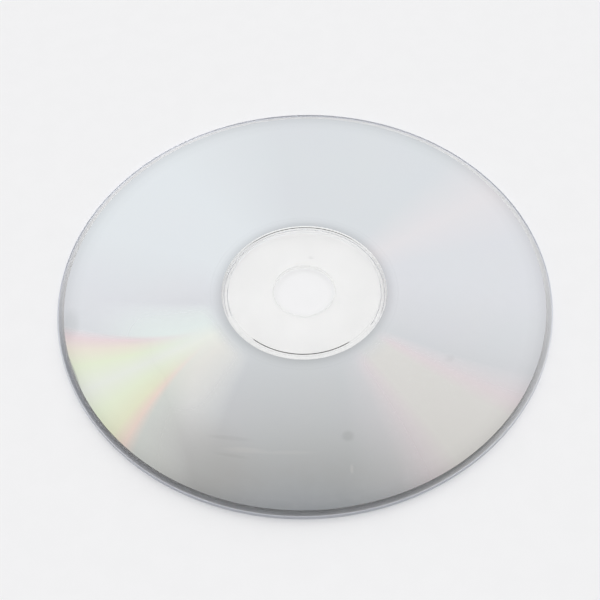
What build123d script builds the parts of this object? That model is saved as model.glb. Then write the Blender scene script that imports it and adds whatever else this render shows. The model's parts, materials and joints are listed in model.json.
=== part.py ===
from build123d import *
from math import radians, tan
import os

# Compact disc, lying label side up. The spindle hole's axis is Z, and z = 0 is the
# surface that the stacking ring stands on. All lengths are in millimetres.

os.makedirs("parts", exist_ok=True)

# Standard sizes of the disc
disc_diameter = 120.0
disc_thickness = 1.2  # from the read side to the top of the mirror coat
hole_diameter = 15.0
hole_bevel = 0.15  # lead-in on both edges of the hole
rim_round = 0.2  # radius on both edges of the rim

# Groove that the stamper's holder leaves in the label side
groove_inner_diameter = 37.2
groove_width = 1.2
groove_depth = 0.2

# Stacking ring on the read side, straight below the groove
stacking_ring_width = 0.9
stacking_ring_height = 0.2

# Slope of the ring's and the groove's moulded walls, away from upright
draft_angle = 25.0

# Mirror coat, the aluminium film with its lacquer, and the bare bands beside it
coat_thickness = 0.02
coat_gap = 0.4  # from the groove to the coat
clear_rim_width = 1.6  # from the coat to the rim

# Places that follow from these sizes
hole_radius = hole_diameter / 2
rim_radius = disc_diameter / 2
ring_radius = groove_inner_diameter / 2 + groove_width / 2
coat_inner_radius = ring_radius + groove_width / 2 + coat_gap
coat_outer_radius = rim_radius - clear_rim_width
substrate_thickness = disc_thickness - coat_thickness
read_side = stacking_ring_height
label_side = read_side + substrate_thickness


# Clear polycarbonate disc, moulded in one shot: half its section, spun about the hole
with BuildPart() as substrate:
    with BuildSketch(Plane.XZ) as half_section:
        with Locations((hole_radius, read_side)):
            Rectangle(
                rim_radius - hole_radius,
                substrate_thickness,
                align=(Align.MIN, Align.MIN),
            )
        fillet(half_section.vertices().group_by(Axis.X)[-1], rim_round)
        chamfer(half_section.vertices().group_by(Axis.X)[0], hole_bevel)

        # The ring stands out of the read side, and the groove sinks into the label side
        for width, mouth, end, mode in (
            (stacking_ring_width, read_side, read_side - stacking_ring_height, Mode.ADD),
            (groove_width, label_side, label_side - groove_depth, Mode.SUBTRACT),
        ):
            lean = abs(end - mouth) * tan(radians(draft_angle))
            with BuildLine():
                Polyline(
                    (ring_radius - width / 2, mouth),
                    (ring_radius + width / 2, mouth),
                    (ring_radius + width / 2 - lean, end),
                    (ring_radius - width / 2 + lean, end),
                    close=True,
                )
            make_face(mode=mode)
    revolve(axis=Axis.Z)

substrate.part.label = "substrate"
export_step(substrate.part, "parts/substrate.step")


# Mirror coat on the label side, from just outside the groove to the clear rim
with BuildPart() as reflective_coat:
    with BuildSketch(Plane.XY.offset(label_side)):
        Circle(coat_outer_radius)
        Circle(coat_inner_radius, mode=Mode.SUBTRACT)
    extrude(amount=coat_thickness)

reflective_coat.part.label = "reflective_coat"
export_step(reflective_coat.part, "parts/reflective_coat.step")
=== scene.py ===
import json
import math

import bmesh
import bpy
from bpy.props import FloatProperty, FloatVectorProperty, IntProperty, PointerProperty
from bpy.types import Operator, Panel, PropertyGroup
from mathutils import Matrix, Vector


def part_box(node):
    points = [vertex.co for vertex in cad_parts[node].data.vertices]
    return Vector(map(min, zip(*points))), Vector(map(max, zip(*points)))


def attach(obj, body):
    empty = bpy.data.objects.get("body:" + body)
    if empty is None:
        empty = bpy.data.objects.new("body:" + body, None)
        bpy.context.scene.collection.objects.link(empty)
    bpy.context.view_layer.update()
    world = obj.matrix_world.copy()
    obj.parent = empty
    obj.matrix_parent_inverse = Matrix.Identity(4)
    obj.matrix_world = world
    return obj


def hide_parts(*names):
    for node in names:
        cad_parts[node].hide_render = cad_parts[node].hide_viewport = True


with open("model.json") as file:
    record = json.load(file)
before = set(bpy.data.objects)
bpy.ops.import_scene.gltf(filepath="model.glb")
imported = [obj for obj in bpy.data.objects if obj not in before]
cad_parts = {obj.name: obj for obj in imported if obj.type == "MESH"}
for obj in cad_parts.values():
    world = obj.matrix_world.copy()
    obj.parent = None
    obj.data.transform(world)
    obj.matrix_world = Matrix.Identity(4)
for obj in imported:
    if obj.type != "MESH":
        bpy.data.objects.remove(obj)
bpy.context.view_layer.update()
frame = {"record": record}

bl_info = {
    "name": "Compact disc",
    "version": (1, 0, 0),
    "blender": (4, 5, 0),
    "location": "3D View > Sidebar > Disc",
    "description": "Dresses a compact disc that lies label side up, and sets its stage",
    "category": "Object",
}

MM = 0.001
SUBSTRATE_LOW, SUBSTRATE_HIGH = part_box("substrate")
COAT_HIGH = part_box("reflective_coat")[1]
HOLE_RADIUS = frame["record"]["mounts"][0]["dims"]["r_mm"] * MM
RIM_RADIUS = SUBSTRATE_HIGH[0]
LABEL_SIDE = SUBSTRATE_HIGH[2]
COAT_TOP = COAT_HIGH[2]
COAT_RADIUS = COAT_HIGH[0]

NEAR = 1e-6  # two places closer than this count as one
FULL_TURN = 360.0
ROUND_STEPS = 6  # of the rim's rounds
SMOOTH_ANGLE = math.radians(25)  # an edge that turns more than this stays sharp
UPRIGHT_LIMIT = 0.7  # a face whose normal rises less than this is a wall

# The slots of the clear disc's three finishes, and where a wall's finish changes, in degrees
# from +X
MOULDED, FROSTED, SATIN = 0, 1, 2
POLISHED_STRETCH = (228.0, 303.0)  # of the groove's inner wall
FROSTED_STRETCH = (200.0, 326.0)  # of the stacking ring's walls


# Colours and nodes

WHITE = (1.0, 1.0, 1.0, 1.0)

# The Mix node's sockets when it mixes colours
FACTOR, FIRST, SECOND, MIXED = 0, 6, 7, 2

# Shares of a mark's radius: where it has faded to nothing, and inside which it is whole
MARK_EDGE, MARK_CORE = 1.0, 0.3


def colour(code):
    """Turn an sRGB hex code such as #f4f6f3 into the linear colour that a shader takes."""
    parts = [int(code[i : i + 2], 16) / 255 for i in (1, 3, 5)]
    linear = [c / 12.92 if c <= 0.04045 else ((c + 0.055) / 1.055) ** 2.4 for c in parts]
    return (*linear, 1.0)


def grey(level):
    """A linear grey that keeps this share of the light."""
    return (level, level, level, 1.0)


def add_node(tree, kind, inputs=None, **settings):
    """Add a node. Each input is given by name or number, as a value or another node's output."""
    made = tree.nodes.new(kind)
    for name, value in settings.items():
        setattr(made, name, value)
    for key, value in (inputs or {}).items():
        if isinstance(value, bpy.types.NodeSocket):
            tree.links.new(value, made.inputs[key])
        else:
            made.inputs[key].default_value = value
    return made


def start_material(name):
    """Make an empty material, and return it with its tree and its Principled shader."""
    material = bpy.data.materials.new(name)
    material.use_nodes = True
    tree = material.node_tree
    tree.nodes.clear()
    shader = add_node(tree, "ShaderNodeBsdfPrincipled")
    add_node(tree, "ShaderNodeOutputMaterial", {"Surface": shader.outputs[0]})
    return material, tree, shader


def let_lamps_through(tree, shader):
    """Let lamps shine straight through a clear part, as they nearly do through a thin sheet."""
    path = add_node(tree, "ShaderNodeLightPath")
    passed = add_node(tree, "ShaderNodeBsdfTransparent", {"Color": WHITE})
    mixed = add_node(
        tree,
        "ShaderNodeMixShader",
        {0: path.outputs["Is Shadow Ray"], 1: shader.outputs[0], 2: passed.outputs[0]},
    )
    output = tree.nodes["Material Output"]
    tree.links.new(mixed.outputs[0], output.inputs["Surface"])


def read_flat(tree):
    """Return a point's place in the disc's plane, in mm from the hole's axis."""
    point = add_node(tree, "ShaderNodeTexCoord").outputs["Object"]
    return add_node(
        tree, "ShaderNodeVectorMath", {0: point, 1: (1 / MM, 1 / MM, 0)}, operation="MULTIPLY"
    ).outputs[0]


def read_turn(tree, flat):
    """Return a flat place's angle from +X, in degrees.

    The angle is taken at the opposite place and half a turn is added, so that it starts from 0.
    """
    back = add_node(
        tree, "ShaderNodeVectorMath", {0: flat, "Scale": -1.0}, operation="SCALE"
    ).outputs[0]
    parts = add_node(tree, "ShaderNodeSeparateXYZ", {0: back})
    turn = add_node(
        tree, "ShaderNodeMath", {0: parts.outputs["Y"], 1: parts.outputs["X"]},
        operation="ARCTAN2",
    ).outputs[0]
    degrees = add_node(tree, "ShaderNodeMath", {0: turn}, operation="DEGREES").outputs[0]
    return add_node(
        tree, "ShaderNodeMath", {0: degrees, 1: FULL_TURN / 2}, operation="ADD"
    ).outputs[0]


def set_stops(ramp, stops):
    """Give a colour ramp its stops, as (place, linear colour) pairs in order."""
    elements = ramp.color_ramp.elements
    while len(elements) < len(stops):
        elements.new(1.0)
    for element, (place, shade) in zip(elements, stops):
        element.position = place
        element.color = shade


def grade(tree, place, stops):
    """Turn a distance in mm, or an angle in degrees, into a level by pairs of both in order."""
    start, end = stops[0][0], stops[-1][0]
    share = add_node(
        tree, "ShaderNodeMapRange", {"Value": place, "From Min": start, "From Max": end}
    ).outputs[0]
    ramp = add_node(tree, "ShaderNodeValToRGB", {0: share})
    set_stops(ramp, [((where - start) / (end - start), grey(level)) for where, level in stops])
    return ramp.outputs["Color"]


def draw_grain(tree, place, width, detail, span, levels):
    """Draw a soft random grain of this width, with a span of its noise turned into levels."""
    noise = add_node(
        tree, "ShaderNodeTexNoise", {"Vector": place, "Scale": 1 / width, "Detail": detail}
    )
    return add_node(
        tree,
        "ShaderNodeMapRange",
        {
            "Value": noise.outputs[0],
            "From Min": span[0],
            "From Max": span[1],
            "To Min": levels[0],
            "To Max": levels[1],
        },
    ).outputs[0]


def add_marks(tree, flat, base, colours, marks):
    """Lay soft oval marks on a colour, each from a row of place, size, tilt, colour and strength."""
    for across, along, long_radius, short_radius, tilt, name, strength in marks:
        local = add_node(
            tree,
            "ShaderNodeMapping",
            {
                "Vector": flat,
                "Location": (across, along, 0),
                "Rotation": (0, 0, math.radians(tilt)),
                "Scale": (long_radius, short_radius, 1),
            },
            vector_type="TEXTURE",
        ).outputs[0]
        reach = add_node(
            tree, "ShaderNodeVectorMath", {0: local}, operation="LENGTH"
        ).outputs["Value"]
        mask = add_node(
            tree,
            "ShaderNodeMapRange",
            {"Value": reach, "From Min": MARK_EDGE, "From Max": MARK_CORE, "To Max": strength},
            interpolation_type="SMOOTHSTEP",
        ).outputs[0]
        base = add_node(
            tree, "ShaderNodeMix",
            {FACTOR: mask, FIRST: base, SECOND: getattr(colours, name)}, data_type="RGBA",
        ).outputs[MIXED]
    return base


# Modelling


def select_places(test):
    """In edit mode, select the vertices whose place passes the test, and nothing else."""
    mesh = bmesh.from_edit_mesh(bpy.context.object.data)
    bpy.ops.mesh.select_all(action="DESELECT")
    bpy.ops.mesh.select_mode(type="VERT")
    for vertex in mesh.verts:
        vertex.select = test(vertex.co)
    mesh.select_flush_mode()
    bmesh.update_edit_mesh(bpy.context.object.data)


def start_section(name, inner, outer, low, high):
    """Draw a rectangle of edges on the XZ plane, which a turned piece's section starts from."""
    bpy.ops.object.select_all(action="DESELECT")
    bpy.ops.mesh.primitive_plane_add(
        size=1,
        location=((inner + outer) / 2, 0, (low + high) / 2),
        rotation=(math.pi / 2, 0, 0),
    )
    piece = bpy.context.object
    piece.name = name
    piece.data.name = name
    piece.scale = (outer - inner, high - low, 1)
    bpy.ops.object.transform_apply(location=True, rotation=True, scale=True)
    bpy.ops.object.mode_set(mode="EDIT")
    bpy.ops.mesh.delete(type="ONLY_FACE")
    return piece


def cut_section(radius):
    """Cut the section's edges at a radius."""
    bpy.ops.mesh.select_all(action="SELECT")
    bpy.ops.mesh.bisect(plane_co=(radius, 0, 0), plane_no=(1, 0, 0), threshold=NEAR)


def step_section(middle, width, surface, rise, draft):
    """Move a stretch of the section's edge up or down, between two drafted walls."""
    lean = abs(rise) * math.tan(draft)
    for side in (-1, 1):
        cut_section(middle + side * width / 2)
        cut_section(middle + side * (width / 2 - lean))
    half = width / 2 - lean + NEAR
    select_places(lambda co: abs(co.x - middle) < half and abs(co.z - surface) < NEAR)
    bpy.ops.transform.translate(value=(0, 0, rise))


def spin_section(steps):
    """Spin the section round the spindle hole into a closed skin, and smooth it."""
    bpy.ops.mesh.select_all(action="SELECT")
    bpy.ops.mesh.spin(steps=steps, angle=2 * math.pi, center=(0, 0, 0), axis=(0, 0, 1))
    bpy.ops.mesh.select_all(action="SELECT")
    bpy.ops.mesh.remove_doubles(threshold=NEAR)
    bpy.ops.mesh.normals_make_consistent(inside=False)
    bpy.ops.object.mode_set(mode="OBJECT")
    bpy.ops.object.shade_smooth_by_angle(angle=SMOOTH_ANGLE)
    weighted = bpy.context.object.modifiers.new("even_faces", "WEIGHTED_NORMAL")
    weighted.keep_sharp = True
    bpy.ops.object.modifier_apply(modifier=weighted.name)


# Sizes and colours that a user would change


def size(name, description, millimetres):
    """A length that the sidebar shows."""
    return FloatProperty(
        name=name, description=description, default=millimetres * MM, unit="LENGTH", precision=5
    )


def swatch(name, description, code):
    """A colour that the sidebar shows."""
    return FloatVectorProperty(
        name=name, description=description, default=colour(code),
        subtype="COLOR", size=4, min=0, max=1,
    )


class DiscSizes(PropertyGroup):
    segments: IntProperty(
        name="Segments", description="Steps of the spin round the hole", default=360, min=64
    )
    rim_round: size("Rim round", "Radius on both edges of the rim", 0.2)
    hole_bevel: size("Hole bevel", "Lead-in on both edges of the hole", 0.15)
    ring_radius: size("Ring radius", "Middle of the groove and of the stacking ring", 19.2)
    groove_width: size("Groove width", "Width of the groove's mouth in the label side", 1.2)
    groove_depth: size("Groove depth", "Depth of the groove in the label side", 0.2)
    ring_width: size("Stacking ring width", "Width of the ring at the read side", 0.9)
    ring_height: size("Stacking ring height", "How far the ring stands out below", 0.2)
    draft: FloatProperty(
        name="Draft", description="Slope of the moulded walls away from upright",
        default=math.radians(25), subtype="ANGLE",
    )
    coat_inner: size("Coat's inner radius", "Where the mirror begins", 20.2)
    coat_bite: size("Coat bite", "How far the film sinks in, so that its face meets no other", 0.005)

    def find_finish(self, face):
        """Return the slot of the finish that a face of the clear disc has.

        The groove's walls are frosted, but for the stretch that shows as a dark line, which is
        polished. The stacking ring's are satin, and frosted where they hardly show.
        """
        radius = math.hypot(face.center.x, face.center.y)
        turn = math.degrees(math.atan2(face.center.y, face.center.x)) % FULL_TURN
        if radius < HOLE_RADIUS + self.hole_bevel:
            return FROSTED
        if radius > RIM_RADIUS - self.rim_round:
            return SATIN
        outward = radius - self.ring_radius
        if abs(face.normal.z) > UPRIGHT_LIMIT or abs(outward) > self.groove_width / 2:
            return MOULDED
        if face.center.z < LABEL_SIDE - self.groove_depth:
            return FROSTED if FROSTED_STRETCH[0] < turn < FROSTED_STRETCH[1] else SATIN
        if outward < 0 and POLISHED_STRETCH[0] < turn < POLISHED_STRETCH[1]:
            return MOULDED
        return FROSTED


class DiscColours(PropertyGroup):
    plastic: swatch("Plastic", "Clear polycarbonate", "#fefefd")
    # Also the colour of painted shade: round the hole on the table, and at the mirror's edge near
    # the rim
    scuff_and_shade: swatch("Scuff", "Dull specks and smudges", "#9c9f9e")
    sheen: swatch("Sheen", "Light smears in the lacquer", "#ffffff")
    # Painted reflection of something warm in the room, laid as a dull warm patch near the rim
    warm_reflection: swatch("Tarnish", "Dull warm patch near the rim", "#beb2a4")
    punched_edge: swatch("Punched edge", "Frosted walls of the hole and the groove", "#959694")
    rim_edge: swatch("Rim edge", "Satin wall of the rim", "#cccfd8")
    # Painted shade for the clear band at the label side's rim, where the film's shadow on the table
    # shows through
    rim_shade: swatch("Lacquer edge", "Clear band where the lacquer ran out", "#7f838f")
    mirror: swatch("Mirror", "Aluminium under its lacquer", "#e5e9ed")
    mirror_blue: swatch("Bluish mirror", "Aluminium where it splits off some blue", "#edf2f6")
    mirror_warm: swatch("Warm mirror", "Aluminium where it splits off some red", "#e9ebf0")
    mirror_rose: swatch("Rosy mirror", "Aluminium where it splits off more red", "#efedf0")
    pink: swatch("Pink", "First colour of a fan", "#eddadd")
    cream: swatch("Cream", "Second colour of a fan", "#ede6da")
    green: swatch("Green", "Both sides of the strong fan's middle", "#e9f1d9")
    pale: swatch("Pale", "Middle of the strong fan", "#ebefe7")
    lime: swatch("Lime", "Outer green of the strong fan", "#e9ebd0")
    salmon: swatch("Salmon", "Last colour of a fan", "#f2dcd1")
    teal: swatch("Teal", "What follows the strong fan", "#d6ddd6")
    # Colours of the faint fan of painted diffraction light at the hub's side of the strong fan
    faint_fan_teal: swatch("Haze, teal side", "Pale haze at the hub's side of the strong fan", "#e9f3f0")
    faint_fan_pale: swatch("Haze, middle", "Pale haze at the hub's side of the strong fan", "#eef1ea")
    faint_fan_warm: swatch("Haze, warm side", "Pale haze at the hub's side of the strong fan", "#eae9e4")
    beige: swatch("Beige", "Middle of the weak fan", "#e3e0db")
    table: swatch("Table", "White laminate under the disc", "#f2f2f3")


class StageSettings(PropertyGroup):
    lens: FloatProperty(
        name="Lens", description="Focal length on a 36 mm sensor", default=67.05, min=1
    )
    distance: size("Distance", "From the camera to the point it looks at", 272.32)
    elevation: FloatProperty(
        name="Elevation", description="Camera above the table",
        default=math.radians(54.13), subtype="ANGLE",
    )
    roll: FloatProperty(
        name="Roll", description="Tilt of the camera about its own line of sight",
        default=math.radians(-2.04), subtype="ANGLE",
    )
    aim: FloatVectorProperty(
        name="Aim", description="The point that the camera looks at",
        default=(-1.09 * MM, -2.13 * MM, 0.2 * MM), subtype="XYZ", unit="LENGTH", precision=5,
    )
    key: FloatProperty(name="Key", description="Strength of the key light", default=3.1)
    key_azimuth: FloatProperty(
        name="Key azimuth", description="Where the key light stands, from +X towards +Y",
        default=math.radians(82), subtype="ANGLE",
    )
    key_height: FloatProperty(
        name="Key height", description="The key light above the table",
        default=math.radians(35), subtype="ANGLE",
    )
    key_softness: FloatProperty(
        name="Key softness", description="How wide the key light looks",
        default=math.radians(66), subtype="ANGLE",
    )
    fill: FloatProperty(
        name="Fill", description="Strength of the light from all round", default=0.42
    )
    glass_fill: FloatProperty(
        name="Fill in glass",
        description="Strength of the light from all round that clear parts pass",
        default=0.66,
    )
    glow: FloatProperty(
        name="Glow", description="Strength of the light that the hub spreads over the table",
        default=1.5,
    )


# Clear plastic

POLYCARBONATE_IOR = 1.585

# Each grain's width in mm, its detail, and the span of its noise with the levels it becomes.
# The frosted and the satin grain are drawn coarser than real ones, which are too fine to show.
PLASTIC_HAZE = (9.0, 3.0, (0.35, 0.70), (0.0, 0.04))
PLASTIC_SCUFFS = (1.5, 4.0, (0.45, 0.80), (0.0, 0.06))
FROSTED_GRAIN = (0.3, 2.0, (0.30, 0.70), (0.0, 0.15))
SATIN_GRAIN = (0.6 * MM, 2.0, (0.35, 0.65), (0.0, 0.08))  # in metres, as it covers upright walls

# A mark's place across and along in mm, its two radii in mm, tilt in degrees, colour and
# strength
HUB_MARKS = ((2.0, 10.1, 0.9, 0.25, -8, "scuff_and_shade", 0.3),)

# Painted shade in the label side's clear band past the mirror, by radius in mm: it stands in
# for the film's shadow on the table below, which shows through the band
RIM_SHADE_ACROSS = (
    (58.4, 0.00),
    (58.6, 0.30),
    (58.9, 0.75),
    (59.2, 1.00),
    (59.5, 1.00),
    (59.7, 0.60),
    (59.8, 0.00),
)

# How strong that painted shade is round the disc, by degrees from +X
RIM_SHADE_ROUND = (
    (0.0, 0.50),
    (45.0, 0.27),
    (90.0, 0.62),
    (120.0, 0.24),
    (150.0, 0.32),
    (180.0, 0.66),
    (198.0, 1.00),
    (212.0, 1.00),
    (232.0, 0.80),
    (250.0, 0.68),
    (285.0, 0.62),
    (316.0, 0.50),
    (340.0, 0.60),
    (360.0, 0.50),
)

# The frosted walls: the share of what lies behind them that they cover, how rough they are,
# and the light that they give off, which isn't enough to count as a lamp
FROSTED_COVER = 0.25
FROSTED_ROUGHNESS = 0.5
FROSTED_GLOW = 1.45

# The satin walls: the share of light that they pass, how rough they are, and the light that
# they give off, which is uneven by degrees from +X and isn't enough to count as a lamp either
SATIN_CLEARNESS = 0.5
SATIN_ROUGHNESS = 0.3
SATIN_GLOW = 0.45
SATIN_ROUND = (
    (0.0, 0.38),
    (45.0, 0.50),
    (90.0, 0.40),
    (115.0, 0.72),
    (145.0, 0.72),
    (162.0, 0.38),
    (360.0, 0.38),
)


def moulded_polycarbonate(colours):
    """Optical polycarbonate, moulded against polished steel: clear and glossy, with a high index.

    Handling leaves it faint scuffs. A band at the label side's rim is painted darker, as painted
    shade for the film's shadow on the table below it. It lets lamps through straight, as a thin
    sheet nearly does.
    """
    material, tree, shader = start_material("moulded_polycarbonate")
    flat = read_flat(tree)
    haze = draw_grain(tree, flat, *PLASTIC_HAZE)
    base = add_node(
        tree, "ShaderNodeMix", {FACTOR: haze, FIRST: colours.plastic, SECOND: colours.scuff_and_shade},
        data_type="RGBA",
    ).outputs[MIXED]
    base = add_marks(tree, flat, base, colours, HUB_MARKS)

    radius = add_node(
        tree, "ShaderNodeVectorMath", {0: flat}, operation="LENGTH"
    ).outputs["Value"]
    across = grade(tree, radius, RIM_SHADE_ACROSS)
    around = grade(tree, read_turn(tree, flat), RIM_SHADE_ROUND)
    edge = add_node(
        tree, "ShaderNodeMath", {0: across, 1: around}, operation="MULTIPLY"
    ).outputs[0]
    point = add_node(tree, "ShaderNodeTexCoord").outputs["Object"]
    parts = add_node(tree, "ShaderNodeSeparateXYZ", {0: point})
    label_side = add_node(
        tree, "ShaderNodeMath", {0: parts.outputs["Z"], 1: LABEL_SIDE - NEAR},
        operation="GREATER_THAN",
    ).outputs[0]
    # Painted shade: darken the label side's clear band at the rim
    rim_shade_share = add_node(
        tree, "ShaderNodeMath", {0: edge, 1: label_side}, operation="MULTIPLY"
    ).outputs[0]
    base = add_node(
        tree, "ShaderNodeMix", {FACTOR: rim_shade_share, FIRST: base, SECOND: colours.rim_shade},
        data_type="RGBA",
    ).outputs[MIXED]
    tree.links.new(base, shader.inputs["Base Color"])
    tree.links.new(draw_grain(tree, flat, *PLASTIC_SCUFFS), shader.inputs["Roughness"])
    shader.inputs["IOR"].default_value = POLYCARBONATE_IOR
    shader.inputs["Transmission Weight"].default_value = 1.0
    let_lamps_through(tree, shader)
    return material


def frosted_polycarbonate(colours):
    """Frosted polycarbonate, bright with the light that the disc leads to it.

    It finishes the hole's wall, where the moulded sprue was punched out, the groove's walls but
    for a stretch, and a stretch of the stacking ring's.
    """
    material, tree, shader = start_material("frosted_polycarbonate")
    dull = draw_grain(tree, read_flat(tree), *FROSTED_GRAIN)
    base = add_node(
        tree, "ShaderNodeMix",
        {FACTOR: dull, FIRST: colours.punched_edge, SECOND: colours.scuff_and_shade}, data_type="RGBA",
    ).outputs[MIXED]
    tree.links.new(base, shader.inputs["Base Color"])
    shader.inputs["Roughness"].default_value = FROSTED_ROUGHNESS
    shader.inputs["IOR"].default_value = POLYCARBONATE_IOR
    shader.inputs["Emission Color"].default_value = colours.punched_edge
    shader.inputs["Emission Strength"].default_value = FROSTED_GLOW
    shader.inputs["Alpha"].default_value = FROSTED_COVER
    let_lamps_through(tree, shader)
    return material


def satin_polycarbonate(colours):
    """Polycarbonate left satin by the mould's ring: it passes light and scatters it.

    It finishes the rim's wall and the rest of the stacking ring's, and gives off some of the
    light that the disc leads to it.
    """
    material, tree, shader = start_material("satin_polycarbonate")
    point = add_node(tree, "ShaderNodeTexCoord").outputs["Object"]
    dull = draw_grain(tree, point, *SATIN_GRAIN)
    base = add_node(
        tree, "ShaderNodeMix",
        {FACTOR: dull, FIRST: colours.rim_edge, SECOND: colours.scuff_and_shade}, data_type="RGBA",
    ).outputs[MIXED]
    tree.links.new(base, shader.inputs["Base Color"])
    shader.inputs["Roughness"].default_value = SATIN_ROUGHNESS
    shader.inputs["IOR"].default_value = POLYCARBONATE_IOR
    shader.inputs["Transmission Weight"].default_value = SATIN_CLEARNESS
    around = grade(tree, read_turn(tree, read_flat(tree)), SATIN_ROUND)
    given = add_node(
        tree, "ShaderNodeMix", {FACTOR: 1.0, FIRST: colours.rim_edge, SECOND: around},
        data_type="RGBA", blend_type="MULTIPLY",
    ).outputs[MIXED]
    tree.links.new(given, shader.inputs["Emission Color"])
    shader.inputs["Emission Strength"].default_value = SATIN_GLOW
    let_lamps_through(tree, shader)
    return material


# Mirror coat

# Steps of a painted tint of light round the mirror, in degrees from +X
MIRROR_ROUND = (
    (0, "mirror_warm"),
    (15, "mirror_warm"),
    (30, "mirror_rose"),
    (46, "mirror"),
    (95, "mirror"),
    (130, "mirror_blue"),
    (158, "mirror_blue"),
    (182, "mirror_warm"),
    (208, "mirror"),
    (318, "mirror"),
    (336, "mirror_warm"),
    (360, "mirror_warm"),
)

# Share of light that the film keeps at each radius in mm: darker towards both of its edges, with a
# faint dip at 22.85
MIRROR_ACROSS = (
    (20.2, 0.80),
    (20.9, 0.87),
    (21.8, 0.945),
    (22.6, 0.99),
    (22.85, 0.97),
    (23.2, 1.00),
    (54.0, 1.00),
    (56.2, 0.965),
    (58.4, 0.87),
)

# A diffraction fan: its middle in degrees, the radius in mm where its half would be 0 degrees
# wide and how many degrees each mm adds, the radii between which it fades in and out, and its
# colours with their strengths. Places across it run from -1 at its first edge to 1 at its last.
STRONG_FAN = {
    "middle": 208.2,
    "start": 18.0,
    "widening": 0.45,
    "fade_in": (26.0, 46.0),
    "fade_out": (70.0, 80.0),
    "stops": (
        (-1.12, "pink", 0.0),
        (-0.94, "pink", 0.9),
        (-0.74, "cream", 1.0),
        (-0.45, "green", 1.0),
        (-0.05, "pale", 1.0),
        (0.35, "green", 1.0),
        (0.70, "lime", 1.0),
        (0.92, "salmon", 0.90),
        (1.10, "teal", 0.60),
        (1.45, "teal", 0.40),
        (2.00, "teal", 0.0),
    ),
}
# A faint fan of painted diffraction light at the hub's side of the strong fan, drawn like the others
FAINT_FAN = {
    "middle": 209.0,
    "start": -60.0,
    "widening": 0.25,
    "fade_in": (21.2, 26.0),
    "fade_out": (36.0, 54.0),
    "stops": (
        (-1.05, "faint_fan_teal", 0.0),
        (-0.75, "faint_fan_teal", 0.50),
        (-0.40, "faint_fan_teal", 0.80),
        (0.00, "faint_fan_pale", 1.0),
        (0.40, "faint_fan_warm", 0.95),
        (0.80, "faint_fan_warm", 0.6),
        (1.30, "faint_fan_warm", 0.0),
    ),
}
WEAK_FAN = {
    "middle": 312.0,
    "start": -50.0,
    "widening": 0.15,
    "fade_in": (20.0, 27.0),
    "fade_out": (70.0, 80.0),
    "stops": (
        (-2.20, "pink", 0.0),
        (-1.40, "pink", 0.12),
        (-0.95, "pink", 0.40),
        (-0.50, "beige", 0.75),
        (0.50, "beige", 0.75),
        (0.80, "pink", 0.55),
        (1.00, "pink", 0.30),
        (1.30, "pink", 0.0),
    ),
}
FAN_SPAN = (-2.3, 2.3)  # places across a fan that hold all its colours

# How far a fan at full strength is from a plain mirror: it scatters that share of the light
FAN_SCATTER = 0.65

# Marks on the label side, in rows like the hub's
LABEL_MARKS = (
    (33.3, -21.4, 1.7, 1.3, 20, "scuff_and_shade", 0.09),
    (8.5, -40.8, 1.9, 1.9, 0, "scuff_and_shade", 0.18),
    (8.9, -49.0, 0.5, 1.6, 0, "sheen", 0.35),
    (-18.0, -40.2, 6.5, 0.8, -9, "scuff_and_shade", 0.09),
    (-14.5, -43.4, 6.5, 1.0, -6, "sheen", 0.22),
    (-5.0, -44.4, 8.5, 0.7, -2, "sheen", 0.14),
    (-17.5, -44.6, 5.0, 0.6, -12, "scuff_and_shade", 0.08),
    # Painted reflection of something warm in the room
    (-27.0, -44.5, 22.0, 14.0, -31, "warm_reflection", 0.16),
    (-56.5, -8.0, 3.0, 6.0, 0, "scuff_and_shade", 0.16),
    # Painted shade: this row darkens the mirror's edge where the rim's shade is deepest
    (-54.2, -21.9, 9.0, 0.6, -68, "scuff_and_shade", 0.75),
)

# The film's faint mottle: its width in mm, its detail and its strength
MOTTLE_WIDTH = 14.0
MOTTLE_DETAIL = 2.0
MOTTLE_STRENGTH = 0.05

# The lacquer's unevenness, which sets how rough the mirror is
LACQUER_GRAIN = (2.5, 5.0, (0.30, 0.70), (0.03, 0.10))


def draw_fan(tree, radius, angle, colours, fan):
    """Draw one diffraction fan, and return its colour and its strength over the disc."""
    reach = add_node(
        tree, "ShaderNodeMath", {0: radius, 1: fan["start"]}, operation="SUBTRACT"
    ).outputs[0]
    half = add_node(
        tree, "ShaderNodeMath", {0: reach, 1: fan["widening"]}, operation="MULTIPLY"
    ).outputs[0]
    turn = add_node(
        tree, "ShaderNodeMath", {0: angle, 1: fan["middle"]}, operation="SUBTRACT"
    ).outputs[0]
    place = add_node(tree, "ShaderNodeMath", {0: turn, 1: half}, operation="DIVIDE").outputs[0]
    low, high = FAN_SPAN
    share = add_node(
        tree, "ShaderNodeMapRange", {"Value": place, "From Min": low, "From Max": high}
    ).outputs[0]
    ramp = add_node(tree, "ShaderNodeValToRGB", {0: share})
    set_stops(ramp, [
        ((where - low) / (high - low), (*getattr(colours, name)[:3], strength))
        for where, name, strength in fan["stops"]
    ])
    strength = ramp.outputs["Alpha"]
    for start, end in (fan["fade_in"], reversed(fan["fade_out"])):
        fade = add_node(
            tree, "ShaderNodeMapRange", {"Value": radius, "From Min": start, "From Max": end},
            interpolation_type="SMOOTHSTEP",
        ).outputs[0]
        strength = add_node(
            tree, "ShaderNodeMath", {0: strength, 1: fade}, operation="MULTIPLY"
        ).outputs[0]
    return ramp.outputs["Color"], strength


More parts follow.
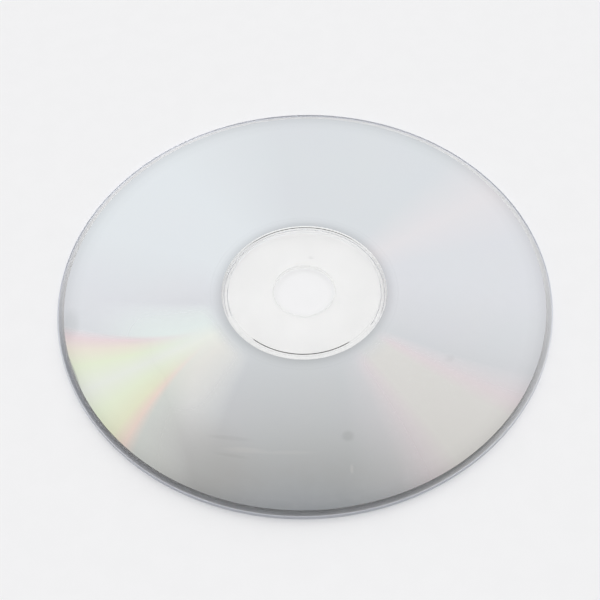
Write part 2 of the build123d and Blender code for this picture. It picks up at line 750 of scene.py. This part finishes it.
def sputtered_aluminium(colours):
    """Aluminium sputtered over the data track and lacquered: a clean mirror, a little bluish.

    The track's fine pitch splits the light into pale fans. A fan is scattered light, so there
    the surface is drawn as less of a mirror and more of a pale pigment.
    """
    material, tree, shader = start_material("sputtered_aluminium")
    flat = read_flat(tree)
    radius = add_node(
        tree, "ShaderNodeVectorMath", {0: flat}, operation="LENGTH"
    ).outputs["Value"]
    angle = read_turn(tree, flat)
    turn = add_node(
        tree, "ShaderNodeMath", {0: angle, 1: FULL_TURN}, operation="DIVIDE"
    ).outputs[0]
    rounds = add_node(tree, "ShaderNodeValToRGB", {0: turn})
    set_stops(rounds, [
        (where / FULL_TURN, getattr(colours, name)) for where, name in MIRROR_ROUND
    ])
    mottle = add_node(
        tree, "ShaderNodeTexNoise",
        {"Vector": flat, "Scale": 1 / MOTTLE_WIDTH, "Detail": MOTTLE_DETAIL},
    )
    base = add_node(
        tree, "ShaderNodeMix",
        {
            FACTOR: MOTTLE_STRENGTH,
            FIRST: rounds.outputs["Color"],
            SECOND: mottle.outputs["Color"],
        },
        data_type="RGBA", blend_type="SOFT_LIGHT",
    ).outputs[MIXED]

    scatter = 0.0
    for fan in (FAINT_FAN, STRONG_FAN, WEAK_FAN):
        shade, strength = draw_fan(tree, radius, angle, colours, fan)
        base = add_node(
            tree, "ShaderNodeMix", {FACTOR: strength, FIRST: base, SECOND: shade},
            data_type="RGBA",
        ).outputs[MIXED]
        scatter = add_node(
            tree, "ShaderNodeMath", {0: scatter, 1: strength}, operation="MAXIMUM"
        ).outputs[0]

    edge_darkening = grade(tree, radius, MIRROR_ACROSS)
    base = add_node(
        tree, "ShaderNodeMix", {FACTOR: 1.0, FIRST: base, SECOND: edge_darkening},
        data_type="RGBA", blend_type="MULTIPLY",
    ).outputs[MIXED]
    base = add_marks(tree, flat, base, colours, LABEL_MARKS)
    tree.links.new(base, shader.inputs["Base Color"])

    metallic = add_node(
        tree, "ShaderNodeMath", {0: scatter, 1: -FAN_SCATTER, 2: 1.0}, operation="MULTIPLY_ADD"
    ).outputs[0]
    tree.links.new(metallic, shader.inputs["Metallic"])
    tree.links.new(draw_grain(tree, flat, *LACQUER_GRAIN), shader.inputs["Roughness"])
    return material


# Pieces


class DISC_OT_substrate(Operator):
    """Turn the clear moulded disc from its half section"""

    bl_idname = "disc.substrate"
    bl_label = "Moulded substrate"

    def execute(self, context):
        sizes = context.scene.disc_sizes
        colours = context.scene.disc_colours
        read_side = SUBSTRATE_LOW[2] + sizes.ring_height
        piece = start_section("clear_substrate", HOLE_RADIUS, RIM_RADIUS, read_side, LABEL_SIDE)
        select_places(lambda co: co.x > RIM_RADIUS - NEAR)
        bpy.ops.mesh.bevel(offset=sizes.rim_round, segments=ROUND_STEPS, affect="VERTICES")
        select_places(lambda co: co.x < HOLE_RADIUS + NEAR)
        bpy.ops.mesh.bevel(offset=sizes.hole_bevel, segments=1, affect="VERTICES")
        step_section(
            sizes.ring_radius, sizes.groove_width, LABEL_SIDE, -sizes.groove_depth, sizes.draft
        )
        step_section(
            sizes.ring_radius, sizes.ring_width, read_side, -sizes.ring_height, sizes.draft
        )
        spin_section(sizes.segments)
        piece.data.materials.append(moulded_polycarbonate(colours))
        piece.data.materials.append(frosted_polycarbonate(colours))
        piece.data.materials.append(satin_polycarbonate(colours))
        for face in piece.data.polygons:
            face.material_index = sizes.find_finish(face)
        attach(piece, "root")
        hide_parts("substrate")
        return {"FINISHED"}


class DISC_OT_coat(Operator):
    """Turn the mirror coat on the label side"""

    bl_idname = "disc.coat"
    bl_label = "Mirror coat"

    def execute(self, context):
        sizes = context.scene.disc_sizes
        piece = start_section(
            "mirror_coat", sizes.coat_inner, COAT_RADIUS, LABEL_SIDE - sizes.coat_bite, COAT_TOP
        )
        spin_section(sizes.segments)
        piece.data.materials.append(sputtered_aluminium(context.scene.disc_colours))
        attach(piece, "root")
        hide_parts("reflective_coat")
        return {"FINISHED"}


# Stage

TABLE_WIDTH = 6.0
CLIP_START = 0.01
CLIP_END = 10.0
OVERHEAD = 90.0

# The laminate's grain, in a row like the plastic's, and its finish
LAMINATE_GRAIN = (6.0, 6.0, (0.30, 0.70), (0.0, 0.02))
LAMINATE_ROUGHNESS = 0.9

# Light that spreads under the film's inner edge, by the distance in mm from the middle of the
# light that comes in through the hub
EDGE_LIGHT = (
    (14.0, 0.00),
    (16.5, 0.01),
    (18.5, 0.02),
    (19.5, 0.03),
    (20.0, 0.07),
    (20.5, 0.13),
    (21.0, 0.23),
    (21.5, 0.32),
    (22.0, 0.38),
    (22.8, 0.50),
    (24.0, 0.58),
    (24.8, 0.00),
)

# Light that spreads under the clear hub, by radius in mm
HUB_LIGHT = (
    (7.8, 0.000),
    (9.0, 0.014),
    (10.5, 0.022),
    (13.5, 0.024),
    (15.0, 0.018),
    (17.0, 0.012),
    (18.2, 0.000),
)

# How much painted shade the table has round the hole, by radius in mm: the hole's wall bends light
# away from there
HOLE_SHADE = (
    (5.8, 0.00),
    (6.5, 0.05),
    (7.0, 0.08),
    (7.5, 0.06),
    (8.2, 0.02),
    (9.5, 0.00),
)

# What the mirror sees of the room, by height in degrees above the table
WALL_STOPS = (
    (0, "#f2f2f2"),
    (30, "#f4f4f4"),
    (46, "#f5f5f5"),
    (53, "#f3f3f3"),
    (55.5, "#ebebea"),
    (57, "#e5e4e3"),
    (60, "#d7d5d3"),
    (61.5, "#cbc9c6"),
    (63, "#bbb9b6"),
    (64.5, "#acacac"),
    (67, "#a6a7a8"),
    (77, "#cbcdce"),
    (90, "#d2d4d5"),
)


def white_laminate(colours, settings):
    """A matt white laminate table, with a faint grain, and painted shade round the hole.

    Light that comes in through the clear hub spreads about under the disc, more than the few
    bounces of a render can carry, so the table glows there instead.
    """
    material, tree, shader = start_material("white_laminate")
    flat = read_flat(tree)
    radius = add_node(
        tree, "ShaderNodeVectorMath", {0: flat}, operation="LENGTH"
    ).outputs["Value"]
    dull = draw_grain(tree, flat, *LAMINATE_GRAIN)
    base = add_node(
        tree, "ShaderNodeMix", {FACTOR: dull, FIRST: colours.table, SECOND: colours.scuff_and_shade},
        data_type="RGBA",
    ).outputs[MIXED]
    # Painted shade round the hole, where its wall bends the light away
    base = add_node(
        tree, "ShaderNodeMix",
        {FACTOR: grade(tree, radius, HOLE_SHADE), FIRST: base, SECOND: colours.scuff_and_shade},
        data_type="RGBA",
    ).outputs[MIXED]
    tree.links.new(base, shader.inputs["Base Color"])
    shader.inputs["Roughness"].default_value = LAMINATE_ROUGHNESS
    shader.inputs["Specular IOR Level"].default_value = 0.0

    # The key light comes in aslant, so what it lights through the hub lies to one side of it
    shift = COAT_TOP / MM / math.tan(settings.key_height)
    aside = (shift * math.cos(settings.key_azimuth), shift * math.sin(settings.key_azimuth), 0)
    moved = add_node(tree, "ShaderNodeVectorMath", {0: flat, 1: aside}, operation="ADD")
    reach = add_node(
        tree, "ShaderNodeVectorMath", {0: moved.outputs[0]}, operation="LENGTH"
    ).outputs["Value"]
    given = add_node(
        tree, "ShaderNodeMix",
        {
            FACTOR: 1.0,
            FIRST: grade(tree, reach, EDGE_LIGHT),
            SECOND: grade(tree, radius, HUB_LIGHT),
        },
        data_type="RGBA", blend_type="ADD",
    ).outputs[MIXED]
    tree.links.new(given, shader.inputs["Emission Color"])
    shader.inputs["Emission Strength"].default_value = settings.glow
    return material


def light_room(scene, settings):
    """Light the stage with a soft key light and a plain white room.

    The mirror sees the room's walls, bright up to their edge and dimmer above. What is lit
    by scattered light sees an even white instead, and so does light that a clear part passes.
    """
    world = bpy.data.worlds.new("white_room")
    scene.world = world
    world.use_nodes = True
    tree = world.node_tree
    tree.nodes.clear()
    direction = add_node(tree, "ShaderNodeTexCoord").outputs["Generated"]
    parts = add_node(tree, "ShaderNodeSeparateXYZ", {0: direction})
    height = add_node(
        tree, "ShaderNodeMath", {0: parts.outputs["Z"]}, operation="ARCSINE"
    ).outputs[0]
    degrees = add_node(tree, "ShaderNodeMath", {0: height}, operation="DEGREES").outputs[0]
    share = add_node(
        tree, "ShaderNodeMath", {0: degrees, 1: OVERHEAD}, operation="DIVIDE"
    ).outputs[0]
    ramp = add_node(tree, "ShaderNodeValToRGB", {0: share})
    set_stops(ramp, [(rise / OVERHEAD, colour(code)) for rise, code in WALL_STOPS])
    walls = add_node(tree, "ShaderNodeBackground", {"Color": ramp.outputs[0]}).outputs[0]
    even = add_node(
        tree, "ShaderNodeBackground", {"Color": WHITE, "Strength": settings.fill}
    ).outputs[0]
    passed = add_node(
        tree, "ShaderNodeBackground", {"Color": WHITE, "Strength": settings.glass_fill}
    ).outputs[0]
    path = add_node(tree, "ShaderNodeLightPath")
    sharp = add_node(
        tree, "ShaderNodeMixShader", {0: path.outputs["Is Transmission Ray"], 1: walls, 2: passed}
    ).outputs[0]
    mixed = add_node(
        tree, "ShaderNodeMixShader", {0: path.outputs["Is Diffuse Ray"], 1: sharp, 2: even}
    ).outputs[0]
    add_node(tree, "ShaderNodeOutputWorld", {"Surface": mixed})

    key = bpy.data.objects.new("key", bpy.data.lights.new("key", "SUN"))
    scene.collection.objects.link(key)
    key.data.energy = settings.key
    key.data.angle = settings.key_softness
    key.visible_glossy = False
    key.visible_transmission = False
    towards = Vector((
        math.cos(settings.key_azimuth) * math.cos(settings.key_height),
        math.sin(settings.key_azimuth) * math.cos(settings.key_height),
        math.sin(settings.key_height),
    ))
    key.rotation_mode = "QUATERNION"
    key.rotation_quaternion = towards.to_track_quat("Z", "Y")
    scene.view_settings.view_transform = "Standard"


def place_camera(scene, settings):
    """Set the camera in front of the disc, looking down at it."""
    camera = bpy.data.objects.new("camera", bpy.data.cameras.new("camera"))
    scene.collection.objects.link(camera)
    camera.data.lens = settings.lens
    camera.data.clip_start = CLIP_START
    camera.data.clip_end = CLIP_END
    forward = Vector((0, math.cos(settings.elevation), -math.sin(settings.elevation)))
    right = Vector((1, 0, 0))
    up = right.cross(forward)
    turn = Matrix.Rotation(settings.roll, 3, "Z")
    axes = Matrix((right, up, -forward)).transposed() @ turn
    place = Vector(settings.aim) - forward * settings.distance
    camera.matrix_world = Matrix.Translation(place) @ axes.to_4x4()
    scene.camera = camera


class DISC_OT_stage(Operator):
    """Set the table, the soft light and the camera"""

    bl_idname = "disc.stage"
    bl_label = "Stage"

    def execute(self, context):
        settings = context.scene.disc_stage
        bpy.ops.object.select_all(action="DESELECT")
        bpy.ops.mesh.primitive_plane_add(size=TABLE_WIDTH, location=(0, 0, 0))
        table = context.object
        table.name = "table"
        table.data.materials.append(white_laminate(context.scene.disc_colours, settings))
        light_room(context.scene, settings)
        place_camera(context.scene, settings)
        return {"FINISHED"}


# Sidebar and run


class DISC_PT_panel(Panel):
    """Lists the disc's pieces and sizes"""

    bl_label = "Compact disc"
    bl_idname = "DISC_PT_panel"
    bl_space_type = "VIEW_3D"
    bl_region_type = "UI"
    bl_category = "Disc"

    def draw(self, context):
        scene = context.scene
        for step in STEPS:
            self.layout.operator(step.bl_idname)
        for group in (scene.disc_sizes, scene.disc_colours, scene.disc_stage):
            box = self.layout.box()
            for name in group.__annotations__:
                box.prop(group, name)


STEPS = (DISC_OT_substrate, DISC_OT_coat, DISC_OT_stage)
GROUPS = {
    "disc_sizes": DiscSizes,
    "disc_colours": DiscColours,
    "disc_stage": StageSettings,
}
CLASSES = (*GROUPS.values(), *STEPS, DISC_PT_panel)


def register():
    for item in CLASSES:
        bpy.utils.register_class(item)
    for name, group in GROUPS.items():
        setattr(bpy.types.Scene, name, PointerProperty(type=group))


def unregister():
    for name in GROUPS:
        delattr(bpy.types.Scene, name)
    for item in reversed(CLASSES):
        bpy.utils.unregister_class(item)


def main():
    register()
    bpy.ops.disc.substrate()
    bpy.ops.disc.coat()
    bpy.ops.disc.stage()


if __name__ == "__main__":
    main()
